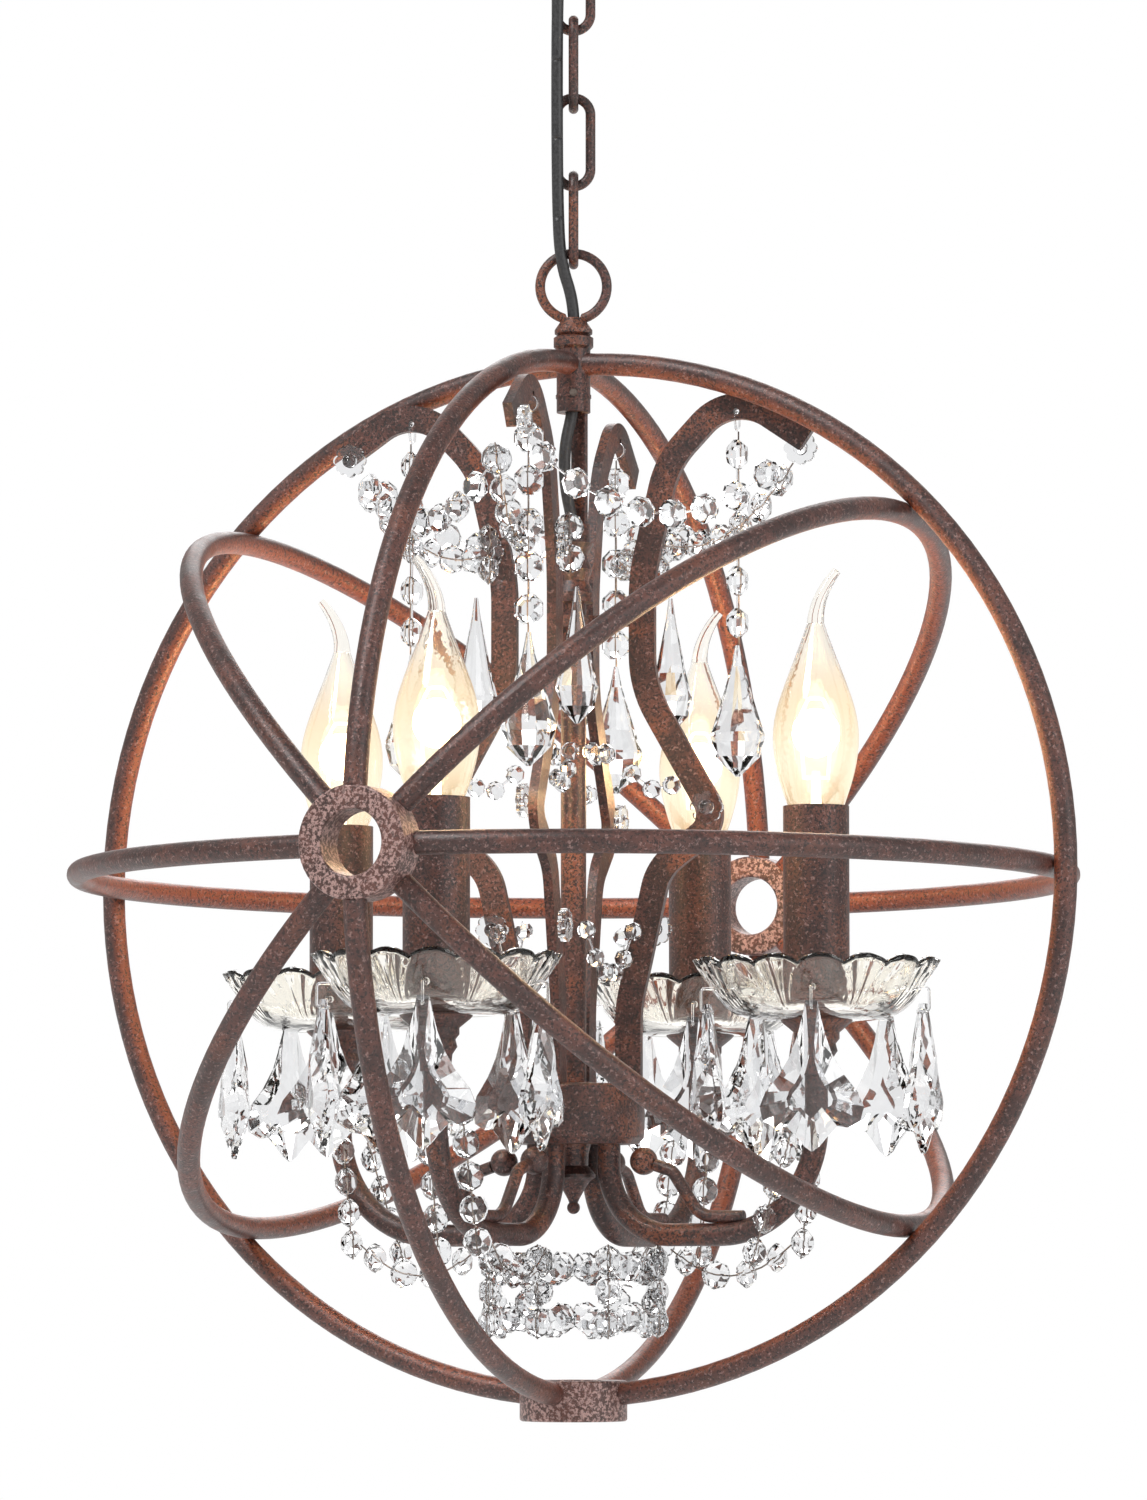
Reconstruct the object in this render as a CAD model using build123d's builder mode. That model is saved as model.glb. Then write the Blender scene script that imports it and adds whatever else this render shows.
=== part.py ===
"""Orb chandelier: an iron orb of five rings round a small crystal chandelier with four candle lights.

Millimetres, +Z up. The origin is on the ceiling, at the middle of the canopy. The front hub of the orb faces -Y.
"""

import math
import os

from build123d import *

# ---------------------------------------------------------------- driving dimensions
# Heights named *_Z are measured from the orb's centre; up() turns them into the part's own heights.
CLEAR = 0.3  # between pieces that move or hang past each other
FIT = 0.05  # radial, between pieces that are pushed into each other
WELD_GAP = 0.05  # between two tubes that only touch at a weld

OUTER_RING_R = 217.0  # centreline of the two upright rings
RING_TUBE_D = 9.5
HUB_OD = 45.0
HUB_BORE = 26.0
HUB_LENGTH = 17.0
RING_TILT = 45.0

CHAIN_TURN = 23.0  # the loop and the chain are turned this far from the orb's front
CHAIN_WIRE = 4.2
LINK_LENGTH = 42.0
LINK_WIDTH = 18.6
LINK_COUNT = 4
LOOP_OD = 32.4
LOOP_Z = 250.5
LOOP_NECK_D = 16.0
LOOP_NECK_BORE = 7.0
STEM_OD = 14.3
STEM_BORE = 7.4
STEM_TOP_Z = 223.5
STEM_WINDOW_Z = 196.8
STEM_FOOT_Z = 141.0
STEM_STRAP = 6.6
STRAP_TURN = 60.0  # the strap's side, from the loop's own plane
WINDOW_FOOT_Z = 149.0
STEM_SCREW_Z = 204.6
STEM_SCREW_D = 3.5

CANOPY_D = 120.0
CANOPY_H = 30.0
CANOPY_WALL = 1.2
BAR_LENGTH = 104.0
BAR_WIDTH = 22.0
BAR_THICK = 3.0
BAR_SLOT_SPACING = 88.9
BAR_SLOT_LENGTH = 9.0
BAR_SLOT_W = 4.6
CANOPY_SCREW_SPACING = 70.0
CANOPY_SCREW_D = 4.0

COLUMN_OD = 10.7
COLUMN_BORE = 7.5
COLUMN_TOP_Z = 122.0
CROWN_D = 17.0
HUB_TOP_Z = -87.0
DRUM_H = 25.0
DRUM_R = 30.0
DRUM_WALL = 3.0

LYRE_TURN = 8.0  # against the orb's front, seen from above
LYRE_WIDTH = 11.0
LYRE_THICK = 4.0
LYRE_FOOT_R = 24.0
LYRE_WAIST_R = 30.0
SPIDER_Z = 105.0
SPIDER_THICK = 5.0

ARM_COUNT = 4
ARM_TURN = -6.0
ARM_OD = 9.5
ARM_BORE = 6.5
ARM_ROOT_R = 17.0
ARM_LOW_Z = -150.0
SCROLL_R = 2.6
BALL_R = 5.8
CANDLE_R = 114.0
CUP_FOOT_Z = -85.0
DISH_SEAT_Z = -62.5
SAUCER_D = 29.7
SPIGOT_D = 10.0
SPIGOT_H = 12.5
SPIGOT_BORE = 6.4

DISH_D = 103.0
DISH_H = 26.5
DISH_WALL = 3.4
DISH_BASE_D = 50.0
SCALLOPS = 16
SCALLOP_DEPTH = 4.0
DROPS_PER_DISH = 5
DROP_RING_R = 45.5
PIN_D = 1.2
PIN_HOLE_D = 2.6

SLEEVE_OD = 27.2
SLEEVE_WALL = 1.2
SLEEVE_TOP_Z = 25.6
HOLDER_OD = 21.0
HOLDER_BORE = 14.8
BULB_CAP_D = 14.0
BULB_D = 35.0
BULB_TIP_Z = 123.0
BULB_WALL = 0.8

LEAF_H = 61.0
LEAF_W = 42.0
LEAF_THICK = 11.0
TEAR_H = 55.0
TEAR_D = 23.0
NECK_TEAR_H = 57.0
NECK_TEAR_D = 18.0
OCTAGON_D = 13.0
OCTAGON_THICK = 8.0
SMALL_BEAD_D = 8.0
SMALL_BEAD_THICK = 6.0
BEAD_LINK_D = 0.9
STRAND_R = 71.0

CABLE_D = 5.0

# ---------------------------------------------------------------- worked-out places
RING_TUBE_R = RING_TUBE_D / 2
INNER_RING_R = OUTER_RING_R - RING_TUBE_D - WELD_GAP
WIRE_R = CHAIN_WIRE / 2
LOOP_R = (LOOP_OD - CHAIN_WIRE) / 2
LINK_PITCH = LINK_LENGTH - 2 * CHAIN_WIRE - CLEAR
LOOP_PIVOT_Z = LOOP_Z + LOOP_R - CHAIN_WIRE - CLEAR  # centre of the wire that the loop hangs on
CANOPY_PIVOT_Z = LOOP_PIVOT_Z + LINK_COUNT * LINK_PITCH
CANOPY_LOOP_Z = CANOPY_PIVOT_Z + LOOP_R
LOOP_NECK_TOP = LOOP_OD / 2 - 2.6  # below the ring's centre
LOOP_NECK_END = LOOP_Z - STEM_TOP_Z  # below the ring's centre
CANOPY_FACE_Z = CANOPY_LOOP_Z + LOOP_NECK_END
CEILING_Z = CANOPY_FACE_Z + CANOPY_H


def up(height):
    """Height above the orb's centre to height in the part's own frame."""
    return height - CEILING_Z


def turned(angle, radius, height):
    """Upright plane through the orb's axis: its x runs outward at this angle, its y runs up."""
    middle = Vector(0, 0, up(height))
    outward = Vector(math.cos(math.radians(angle)), math.sin(math.radians(angle)), 0)
    return Plane(origin=middle + outward * radius, x_dir=outward, z_dir=outward.cross(Vector(0, 0, 1)))


def around(count, start):
    """Angles of a ring of pieces, the first at the orb's front."""
    return [-90.0 + start + 360.0 * i / count for i in range(count)]


LYRE_ANGLES = around(ARM_COUNT, LYRE_TURN)
ARM_ANGLES = around(ARM_COUNT, ARM_TURN)
CHAIN_ANGLES = (CHAIN_TURN, CHAIN_TURN + 90.0)
os.makedirs("parts", exist_ok=True)


def write(shape, node):
    """Label a finished piece and write it as its own file."""
    shape.label = node
    export_step(shape, f"parts/{node}.step")


def copies(shape, places):
    """The same piece at each place, as separate solids."""
    return Compound(children=[place * piece for place in places for piece in shape.solids()])


def at(plane):
    """Place of a copy whose own frame lands on this plane."""
    return Location(plane)


# ---------------------------------------------------------------- chain, loops and stem
def oval_link():
    """Chain link in its own x and y, centred on its origin."""
    side = (LINK_WIDTH - CHAIN_WIRE) / 2
    straight = LINK_LENGTH / 2 - LINK_WIDTH / 2
    with BuildPart() as link:
        with BuildSketch(Plane.XZ.offset(-straight)):
            with Locations((side, 0), (-side, 0)):
                Circle(WIRE_R)
        extrude(amount=2 * straight)
        for end in (1, -1):
            with BuildSketch(Plane.XZ.offset(-end * straight)):
                with Locations((side, 0)):
                    Circle(WIRE_R)
            revolve(axis=Axis((0, end * straight, 0), (0, 0, 1)), revolution_arc=180 * end)
    return link


def link_middle(index):
    """Height of a link's middle; link 1 is the top one."""
    return CANOPY_PIVOT_Z - index * LINK_PITCH + (LINK_LENGTH - CHAIN_WIRE) / 2


for index in range(1, LINK_COUNT + 1):
    link_place = at(turned(CHAIN_ANGLES[(index + 1) % 2], 0, link_middle(index)))
    write(copies(oval_link().part, [link_place]), f"chain_link_{index}")


def eye_loop(direction):
    """Cast ring with a collared hollow neck, in its own x and y; direction 1 has its neck below."""
    neck = -direction
    with BuildPart() as loop:
        with BuildSketch(Plane.XZ):
            with Locations((LOOP_R, 0)):
                Circle(WIRE_R)
        revolve(axis=Axis((0, 0, 0), (0, 0, 1)), revolution_arc=360)
        with BuildSketch(Plane.XY):
            with BuildLine():
                Polyline(
                    (0, neck * LOOP_NECK_TOP),
                    (4.6, neck * LOOP_NECK_TOP),
                    (LOOP_NECK_D / 2, neck * (LOOP_NECK_END - 8.4)),
                    (LOOP_NECK_D / 2, neck * (LOOP_NECK_END - 6.8)),
                    (LOOP_NECK_D / 2 - 1.2, neck * (LOOP_NECK_END - 6.0)),
                    (LOOP_NECK_D / 2 + 0.4, neck * (LOOP_NECK_END - 5.0)),
                    (LOOP_NECK_D / 2 + 0.4, neck * (LOOP_NECK_END - 1.2)),
                    (LOOP_NECK_D / 2 - 0.8, neck * LOOP_NECK_END),
                    (0, neck * LOOP_NECK_END),
                    close=True,
                )
            make_face()
        revolve(axis=Axis((0, 0, 0), (0, 1, 0)), revolution_arc=360)
        with BuildSketch(Plane.XZ.offset(direction * LOOP_NECK_END)):
            Circle(LOOP_NECK_BORE / 2)
        extrude(amount=-direction * (LOOP_NECK_END - LOOP_NECK_TOP + 3), mode=Mode.SUBTRACT)
    return loop


write(copies(eye_loop(1).part, [at(turned(CHAIN_ANGLES[0], 0, LOOP_Z))]), "orb_loop")

with BuildPart() as hanging_stem:
    with BuildSketch(Plane.XY.offset(up(STEM_FOOT_Z))):
        Circle(STEM_OD / 2)
    extrude(amount=STEM_TOP_Z - STEM_FOOT_Z)
    with BuildSketch(Plane.XY.offset(up(STEM_FOOT_Z))):
        Circle(STEM_BORE / 2)
    extrude(amount=STEM_TOP_Z - STEM_FOOT_Z, mode=Mode.SUBTRACT)
    with BuildSketch(Plane.XY.offset(up(STEM_WINDOW_Z) + 6)):
        Circle(STEM_OD / 2 + 0.35)
        Circle(STEM_OD / 2, mode=Mode.SUBTRACT)
    extrude(amount=1.4)
    # the window takes all but a strap on one side, seen to the right of the cable
    strap_turn = math.radians(CHAIN_TURN + STRAP_TURN)
    window_plane = Plane(
        origin=(0, 0, up(WINDOW_FOOT_Z)), x_dir=(math.cos(strap_turn), math.sin(strap_turn), 0), z_dir=(0, 0, 1)
    )
    with BuildSketch(window_plane):
        Rectangle(2 * STEM_OD, 2 * STEM_OD)
        with Locations((STEM_OD, 0)):
            Rectangle(2 * STEM_OD - STEM_BORE, STEM_STRAP, mode=Mode.SUBTRACT)
    extrude(amount=STEM_WINDOW_Z - WINDOW_FOOT_Z, mode=Mode.SUBTRACT)
    with BuildSketch(Plane(origin=(0, 0, up(STEM_SCREW_Z)), z_dir=turned(CHAIN_ANGLES[1] - 180, 0, 0).x_dir)):
        Circle(STEM_SCREW_D / 2)
    extrude(amount=STEM_OD, mode=Mode.SUBTRACT)
write(hanging_stem.part, "hanging_stem")

stem_screw_plane = Plane(
    origin=Vector(0, 0, up(STEM_SCREW_Z)) + turned(CHAIN_ANGLES[1] - 180, 0, 0).x_dir * (STEM_BORE / 2),
    z_dir=turned(CHAIN_ANGLES[1] - 180, 0, 0).x_dir,
)
with BuildPart(stem_screw_plane) as stem_screw:
    Cylinder(STEM_SCREW_D / 2 - FIT, 2.4, align=(Align.CENTER, Align.CENTER, Align.MIN))
    with BuildSketch(Plane.XY.offset(2.4)):
        RegularPolygon(1.0, 6)
    extrude(amount=-1.4, mode=Mode.SUBTRACT)
write(stem_screw.part, "stem_screw")


# ---------------------------------------------------------------- orb cage
def ring(normal, radius, cutters):
    """Round tube bent to a ring, cut off square where it meets the hubs and the stem."""
    with BuildPart(Plane(origin=(0, 0, up(0)), z_dir=normal)) as tube:
        Torus(radius, RING_TUBE_R)
    with BuildPart() as cut_tube:
        add(tube.part)
        for cutter in cutters:
            add(cutter.part, mode=Mode.SUBTRACT)
    return cut_tube


def cutter(direction, radius):
    """Long bar along this direction, on one side of the orb."""
    with BuildPart(Plane(origin=(0, 0, up(0)), z_dir=direction)) as bar:
        with Locations((0, 0, OUTER_RING_R)):
            Cylinder(radius, 4 * RING_TUBE_D)
    return bar


FRONT = (0, -1, 0)
REAR = (0, 1, 0)
DOWN = (0, 0, -1)
UP = (0, 0, 1)
front_cut = cutter(FRONT, HUB_OD / 2)
rear_cut = cutter(REAR, HUB_OD / 2)
bottom_cut = cutter(DOWN, HUB_OD / 2)
stem_cut = cutter(UP, STEM_OD / 2 + 0.05)
tilt = math.radians(RING_TILT)
RINGS = {
    "ring_upright_front": ((0, 1, 0), OUTER_RING_R, (bottom_cut, stem_cut)),
    "ring_upright_side": ((1, 0, 0), OUTER_RING_R, (front_cut, rear_cut, bottom_cut, stem_cut)),
    "ring_equator": ((0, 0, 1), INNER_RING_R, (front_cut, rear_cut)),
    "ring_tilted_left": ((math.sin(tilt), 0, math.cos(tilt)), INNER_RING_R, (front_cut, rear_cut)),
    "ring_tilted_right": ((-math.sin(tilt), 0, math.cos(tilt)), INNER_RING_R, (front_cut, rear_cut)),
}
for node, (normal, radius, cutters) in RINGS.items():
    write(ring(normal, radius, cutters).part, node)

HUB_MIDDLE = OUTER_RING_R - RING_TUBE_R
with BuildPart() as hub_collar:
    Cylinder(HUB_OD / 2, HUB_LENGTH)
    Cylinder(HUB_BORE / 2, HUB_LENGTH, mode=Mode.SUBTRACT)
    fillet(hub_collar.edges().filter_by(GeomType.CIRCLE), 1.2)
hub_places = [
    at(Plane(origin=Vector(*side) * middle + Vector(0, 0, up(0)), z_dir=side))
    for side, middle in ((FRONT, HUB_MIDDLE), (REAR, HUB_MIDDLE), (DOWN, OUTER_RING_R + 2))
]
write(copies(hub_collar.part, hub_places), "hub_collars")

# ---------------------------------------------------------------- ceiling side
ceiling_loop = at(turned(CHAIN_ANGLES[1], 0, CANOPY_LOOP_Z)) * eye_loop(-1).part
NIPPLE_D = 10.0
NIPPLE_LENGTH = CANOPY_WALL + 12.0
with BuildPart() as canopy_loop:
    add(ceiling_loop)
    with BuildSketch(Plane.XY.offset(up(CANOPY_FACE_Z))):
        Circle(NIPPLE_D / 2)
        Circle(LOOP_NECK_BORE / 2, mode=Mode.SUBTRACT)
    extrude(amount=NIPPLE_LENGTH)
write(canopy_loop.part, "canopy_loop")

with BuildPart() as canopy_cover:
    with BuildSketch(Plane.XZ):
        with BuildLine():
            face = -CANOPY_H
            Line((0, face), (22, face))
            Spline((22, face), (40, face + 5), (54, face + 17), (CANOPY_D / 2, 0))
            Line((CANOPY_D / 2, 0), (CANOPY_D / 2 - CANOPY_WALL, 0))
            inner_start = (CANOPY_D / 2 - CANOPY_WALL, 0)
            Spline(inner_start, (53, face + 18), (39.4, face + 5 + CANOPY_WALL), (22, face + CANOPY_WALL))
            Line((22, face + CANOPY_WALL), (0, face + CANOPY_WALL))
            Line((0, face + CANOPY_WALL), (0, face))
        make_face()
    revolve(axis=Axis.Z)
    with BuildSketch(Plane.XY.offset(-CANOPY_H)):
        Circle(NIPPLE_D / 2 + FIT)
        with Locations((CANOPY_SCREW_SPACING / 2, 0), (-CANOPY_SCREW_SPACING / 2, 0)):
            Circle(CANOPY_SCREW_D / 2 + CLEAR)
    extrude(amount=CANOPY_H - BAR_THICK, mode=Mode.SUBTRACT)
write(canopy_cover.part, "canopy_cover")

with BuildPart() as mounting_bar:
    with BuildSketch(Plane.XY.offset(-BAR_THICK)):
        Rectangle(BAR_LENGTH, BAR_WIDTH)
        with Locations((BAR_SLOT_SPACING / 2, 0), (-BAR_SLOT_SPACING / 2, 0)):
            SlotOverall(BAR_SLOT_LENGTH, BAR_SLOT_W, mode=Mode.SUBTRACT)
        with Locations((CANOPY_SCREW_SPACING / 2, 0), (-CANOPY_SCREW_SPACING / 2, 0)):
            Circle(CANOPY_SCREW_D / 2 + FIT, mode=Mode.SUBTRACT)
        Circle(6.5, mode=Mode.SUBTRACT)
    extrude(amount=BAR_THICK)
    fillet(mounting_bar.edges().filter_by(Axis.Z).group_by(SortBy.LENGTH)[-1], 0.8)
write(mounting_bar.part, "mounting_bar")

COVER_UNDER = -CANOPY_H + 3.2  # outside of the cover where its screws come through
with BuildPart() as canopy_screw:
    with BuildSketch(Plane.XY.offset(COVER_UNDER - 2)):
        Circle(CANOPY_SCREW_D / 2)
    extrude(amount=-COVER_UNDER + 1)
with BuildPart() as cap_nut:
    with BuildSketch(Plane.XY.offset(COVER_UNDER - 2.6)):
        Circle(4.2)
    extrude(amount=-2.4)
    with Locations((0, 0, COVER_UNDER - 6.0)):
        Sphere(4.0)
    with BuildSketch(Plane.XY.offset(COVER_UNDER - 2.6)):
        Circle(CANOPY_SCREW_D / 2 + FIT)
    extrude(amount=-2.4, mode=Mode.SUBTRACT)
screw_places = [Location((side * CANOPY_SCREW_SPACING / 2, 0, 0)) for side in (1, -1)]
screw_set = Compound(children=[canopy_screw.part.solid(), cap_nut.part.solid()])

with BuildPart() as lock_nut:
    with BuildSketch(Plane.XY.offset(-CANOPY_H + CANOPY_WALL)):
        RegularPolygon(9, 6)
        Circle(NIPPLE_D / 2 + FIT, mode=Mode.SUBTRACT)
    extrude(amount=4)
screws = list(copies(screw_set, screw_places).solids())
write(Compound(children=[*screws, lock_nut.part.solid()]), "canopy_fasteners")

with BuildPart(Plane.XY.offset(-BAR_THICK - 12)) as terminal_block:
    with Locations((0, 24, 0)):
        Box(30, 14, 12, align=(Align.CENTER, Align.CENTER, Align.MIN))
    with Locations(*[(x, 24, 0) for x in (-10, 0, 10)]):
        Cylinder(2.2, 8, align=(Align.CENTER, Align.CENTER, Align.MIN), mode=Mode.SUBTRACT)
    with Locations((0, 14, 11)):
        Box(8, 8, 1, align=(Align.CENTER, Align.CENTER, Align.MIN))
write(terminal_block.part, "terminal_block")


# ---------------------------------------------------------------- supply cable
def cable_point(right, near, height):
    """Point beside the chain: right and near are as seen from in front of the loop."""
    turn = math.radians(CHAIN_TURN)
    x = right * math.cos(turn) + near * math.sin(turn)
    y = right * math.sin(turn) - near * math.cos(turn)
    return Vector(x, y, up(height))


CABLE_ROUTE = [
    cable_point(0.4, -0.3, 447.0),
    cable_point(0.0, 0.0, 430.0),
    cable_point(0.0, 0.0, 413.5),
    cable_point(-5.6, 5.6, 397.5),
    cable_point(-6.8, 7.0, 372.0),
    cable_point(-7.0, 7.2, 330.0),
    cable_point(-6.7, 7.1, 286.0),
    cable_point(-5.6, 5.6, 260.4),
    cable_point(0.0, 0.0, 244.4),
    cable_point(0.2, -0.2, 227.0),
    cable_point(0.1, 0.0, 212.0),
    cable_point(-0.1, 0.1, 198.0),
    cable_point(-3.9, 1.2, 182.0),
    cable_point(-3.6, 0.9, 165.0),
    cable_point(0.0, 0.0, 149.0),
    cable_point(0.1, 0.0, 137.0),
]


def corner_radii(points):
    """One arc for each corner, as large as its two runs allow."""
    radii = []
    for before, corner, after in zip(points, points[1:], points[2:]):
        arriving = corner - before
        leaving = after - corner
        half_turn = math.radians(arriving.get_angle(leaving)) / 2
        radii.append(0.45 * min(arriving.length, leaving.length) / math.tan(half_turn))
    return radii


cable_radii = corner_radii(CABLE_ROUTE)
print("supply cable radii", [round(r) for r in cable_radii])
with BuildPart() as supply_cable:
    with BuildLine():
        cable_path = FilletPolyline(*CABLE_ROUTE, radius=cable_radii)
    with BuildSketch(Plane(origin=cable_path @ 0, z_dir=cable_path % 0)):
        Circle(CABLE_D / 2)
    sweep()
cable_section = math.pi * CABLE_D**2 / 4
print("supply cable length", cable_path.length, "volume share", supply_cable.part.volume / cable_section / cable_path.length)
write(supply_cable.part, "supply_cable")

# ---------------------------------------------------------------- column, hub and finial
with BuildPart() as crown_cap:
    with BuildSketch(Plane.XZ):
        with BuildLine():
            Polyline(
                (COLUMN_OD / 2 + FIT, up(COLUMN_TOP_Z - 6)),
                (CROWN_D / 2, up(COLUMN_TOP_Z - 6)),
                (CROWN_D / 2, up(COLUMN_TOP_Z - 2)),
                (CROWN_D / 2 - 2.2, up(COLUMN_TOP_Z + 3)),
                (CROWN_D / 2 - 0.6, up(COLUMN_TOP_Z + 8)),
                (CROWN_D / 2 - 2.6, up(COLUMN_TOP_Z + 14)),
                (STEM_OD / 2 + 1.4, up(STEM_FOOT_Z)),
                (CABLE_D / 2 + 0.9, up(STEM_FOOT_Z)),
                (CABLE_D / 2 + 0.9, up(COLUMN_TOP_Z)),
                (COLUMN_OD / 2 + FIT, up(COLUMN_TOP_Z)),
                close=True,
            )
        make_face()
    revolve(axis=Axis.Z)
write(crown_cap.part, "crown_cap")

with BuildPart() as column:
    with BuildSketch(Plane.XY.offset(up(HUB_TOP_Z))):
        Circle(COLUMN_OD / 2)
        Circle(COLUMN_BORE / 2, mode=Mode.SUBTRACT)
    extrude(amount=COLUMN_TOP_Z - HUB_TOP_Z)
write(column.part, "column")

with BuildPart() as lyre_bracket:
    with BuildSketch(Plane.XY.offset(up(SPIDER_Z))):
        Circle(COLUMN_OD / 2 + 4.5)
        tab = LYRE_WAIST_R - LYRE_WIDTH / 2 - 2 * WELD_GAP
        for angle in LYRE_ANGLES:
            with BuildSketch(Plane.XY.rotated((0, 0, angle))):
                with Locations((tab / 2, 0)):
                    Rectangle(tab, LYRE_THICK)
        Circle(COLUMN_OD / 2 + FIT, mode=Mode.SUBTRACT)
    extrude(amount=SPIDER_THICK)
write(lyre_bracket.part, "lyre_bracket")

DRUM_FLOOR_Z = HUB_TOP_Z - DRUM_H
LID_H = 4.0
with BuildPart() as hub_cup:
    with BuildSketch(Plane.XZ):
        with BuildLine():
            outline = Polyline(
                (6.2, up(DRUM_FLOOR_Z)),
                (DRUM_R - 3, up(DRUM_FLOOR_Z)),
                (DRUM_R - 0.4, up(DRUM_FLOOR_Z + 2.6)),
                (DRUM_R, up(HUB_TOP_Z - LID_H - 8)),
                (DRUM_R - 1.2, up(HUB_TOP_Z - LID_H)),
                (DRUM_R - 1.2 - DRUM_WALL, up(HUB_TOP_Z - LID_H)),
                (DRUM_R - 1.2 - DRUM_WALL, up(DRUM_FLOOR_Z + DRUM_WALL)),
                (6.2, up(DRUM_FLOOR_Z + DRUM_WALL)),
                close=True,
            )
        make_face()
    revolve(axis=Axis.Z)
    with BuildSketch(Plane.XY.offset(up(DRUM_FLOOR_Z))):
        with PolarLocations(ARM_ROOT_R, ARM_COUNT, start_angle=ARM_ANGLES[0]):
            Circle(ARM_BORE / 2)
    extrude(amount=DRUM_WALL, mode=Mode.SUBTRACT)
write(hub_cup.part, "hub_cup")

with BuildPart() as hub_lid:
    with BuildSketch(Plane.XY.offset(up(HUB_TOP_Z - LID_H))):
        Circle(DRUM_R - 1.2)
        Circle(COLUMN_BORE / 2, mode=Mode.SUBTRACT)
    extrude(amount=LID_H)
    fillet(hub_lid.edges().group_by(Axis.Z)[-1].sort_by(SortBy.LENGTH)[-1], 1.5)
write(hub_lid.part, "hub_lid")

with BuildPart() as wire_connector:
    Cylinder(4.5, 11)
    fillet(wire_connector.edges().group_by(Axis.Z)[-1], 1.5)
connector_places = [
    Location((x, y, up(HUB_TOP_Z - LID_H - 12.0))) for x, y in ((16.5, 2), (-16.5, -2))
]
write(copies(wire_connector.part, connector_places), "wire_connectors")

with BuildPart() as finial:
    with BuildSketch(Plane.XZ):
        with BuildLine():
            floor = up(DRUM_FLOOR_Z)
            Polyline(
                (0, floor + DRUM_WALL + 4),
                (6, floor + DRUM_WALL + 4),
                (6, floor),
                (7.4, floor),
                (6.4, floor - 4),
                (6.2, floor - 9),
                (9.2, floor - 12.6),
                (9.2, floor - 14.0),
                (7.0, floor - 15.4),
                (4.6, floor - 19.0),
                (2.4, floor - 23.0),
                (1.6, floor - 25.0),
                (0, floor - 25.0),
                close=True,
            )
        make_face()
    revolve(axis=Axis.Z)
    with Locations((0, 0, floor - 26.5)):
        Sphere(2.7)
write(finial.part, "finial")


# ---------------------------------------------------------------- lyre bars
LYRE_ROUTE = [
    (LYRE_FOOT_R, HUB_TOP_Z),
    (LYRE_FOOT_R, -55.0),
    (37.0, 3.0),
    (62.5, 22.5),
    (LYRE_WAIST_R, 80.0),
    (LYRE_WAIST_R, 126.0),
    (41.0, 174.0),
    (69.0, 203.5),
    (101.0, 181.5),
]
LYRE_RADII = [60.0, 22.0, 11.0, 50.0, 80.0, 40.0, 22.0]
STRAND_HOLE_Z = 194.4


def lyre_bar():
    """Flat bar bent on edge to a lyre's side, in its own x and y."""
    with BuildPart() as bar:
        with BuildSketch():
            with BuildLine():
                FilletPolyline(*LYRE_ROUTE, radius=LYRE_RADII)
            trace(line_width=LYRE_WIDTH)
        extrude(amount=LYRE_THICK / 2, both=True)
        with BuildSketch():
            with Locations((STRAND_R, STRAND_HOLE_Z)):
                Circle(1.3)
        extrude(amount=LYRE_THICK, both=True, mode=Mode.SUBTRACT)
    return bar


for index, angle in enumerate(LYRE_ANGLES, 1):
    write(copies(lyre_bar().part, [at(turned(angle, 0, 0))]), f"lyre_bar_{index}")


# ---------------------------------------------------------------- candle arms and lights
def candle_arm():
    """Hollow arm from under the hub down and out to its candle, with a scroll that ends in a ball."""
    route = [
        (ARM_ROOT_R, DRUM_FLOOR_Z),
        (ARM_ROOT_R, ARM_LOW_Z),
        (CANDLE_R, ARM_LOW_Z),
        (CANDLE_R, CUP_FOOT_Z),
    ]
    rest = ARM_LOW_Z + ARM_OD / 2 + SCROLL_R + WELD_GAP
    scroll = [(39.0, rest + 21.5), (47.0, rest + 19.0), (60.0, rest), (80.0, rest)]
    with BuildPart() as tube:
        with BuildLine():
            FilletPolyline(*route, radius=[29.0, 45.0])
        with BuildSketch(Plane.XZ.offset(-DRUM_FLOOR_Z)):
            with Locations((ARM_ROOT_R, 0)):
                Circle(ARM_OD / 2)
                Circle(ARM_BORE / 2, mode=Mode.SUBTRACT)
        sweep()
    with BuildPart() as curl:
        with BuildLine():
            curl_line = FilletPolyline(*scroll, radius=[6.0, 12.0])
        with BuildSketch(Plane(origin=curl_line @ 0, z_dir=curl_line % 0)):
            Circle(SCROLL_R)
        sweep()
    with BuildPart() as ball:
        with Locations(curl_line @ 0 - (curl_line % 0) * (BALL_R + WELD_GAP)):
            Sphere(BALL_R)
    return Compound(children=[tube.part.solid(), curl.part.solid(), ball.part.solid()])


for index, angle in enumerate(ARM_ANGLES, 1):
    write(copies(candle_arm(), [at(turned(angle, 0, 0))]), f"candle_arm_{index}")

SPIGOT_TOP_Z = DISH_SEAT_Z + SPIGOT_H
with BuildPart() as candle_cup:
    with BuildSketch(Plane.XZ):
        with BuildLine():
            Polyline(
                (SPIGOT_BORE / 2, CUP_FOOT_Z),
                (6.0, CUP_FOOT_Z),
                (6.6, CUP_FOOT_Z + 7),
                (8.6, CUP_FOOT_Z + 10),
                (7.8, CUP_FOOT_Z + 13),
                (9.4, CUP_FOOT_Z + 15),
                (9.4, CUP_FOOT_Z + 17.6),
                (SAUCER_D / 2 - 1, DISH_SEAT_Z - 1.2),
                (SAUCER_D / 2, DISH_SEAT_Z),
                (SPIGOT_D / 2, DISH_SEAT_Z),
                (SPIGOT_D / 2, SPIGOT_TOP_Z),
                (SPIGOT_BORE / 2, SPIGOT_TOP_Z),
                close=True,
            )
        make_face()
    revolve(axis=Axis.Z)
candle_places = [Location(turned(angle, CANDLE_R, 0).origin) for angle in ARM_ANGLES]
write(copies(candle_cup.part, candle_places), "candle_cups")

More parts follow.
